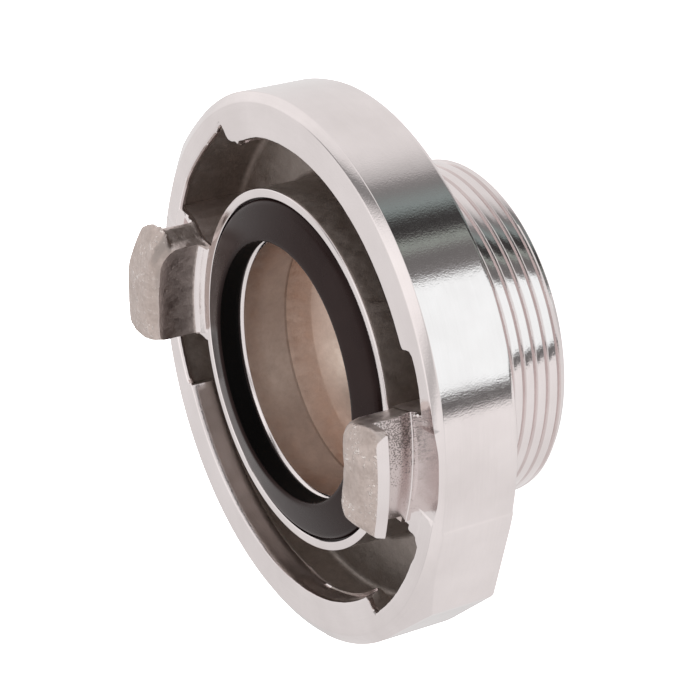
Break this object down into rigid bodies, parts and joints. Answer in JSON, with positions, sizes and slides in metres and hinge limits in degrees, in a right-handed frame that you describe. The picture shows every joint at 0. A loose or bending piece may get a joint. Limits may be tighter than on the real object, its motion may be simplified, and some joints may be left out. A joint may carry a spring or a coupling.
{
  "type": "storz coupling",
  "caption": "Fixed hose coupling head with bayonet claws and lips, a rubber seal ring in its front face and a male pipe thread on its stub.",
  "frame": {"origin": "centre of the threaded stub's end face, on the waterway's axis", "axes": "+Z along the waterway from the stub to the claws; the claws stand near +X and -X"},
  "size_m": [0.0952, 0.0952, 0.0458],
  "materials": {
    "aluminium": "turned faces bright, forged surfaces matt",
    "rubber": "matt moulded"
  },
  "bodies": {
    "root": {"coupling_body": "aluminium", "seal_ring": "rubber"}
  },
  "joints": []
}
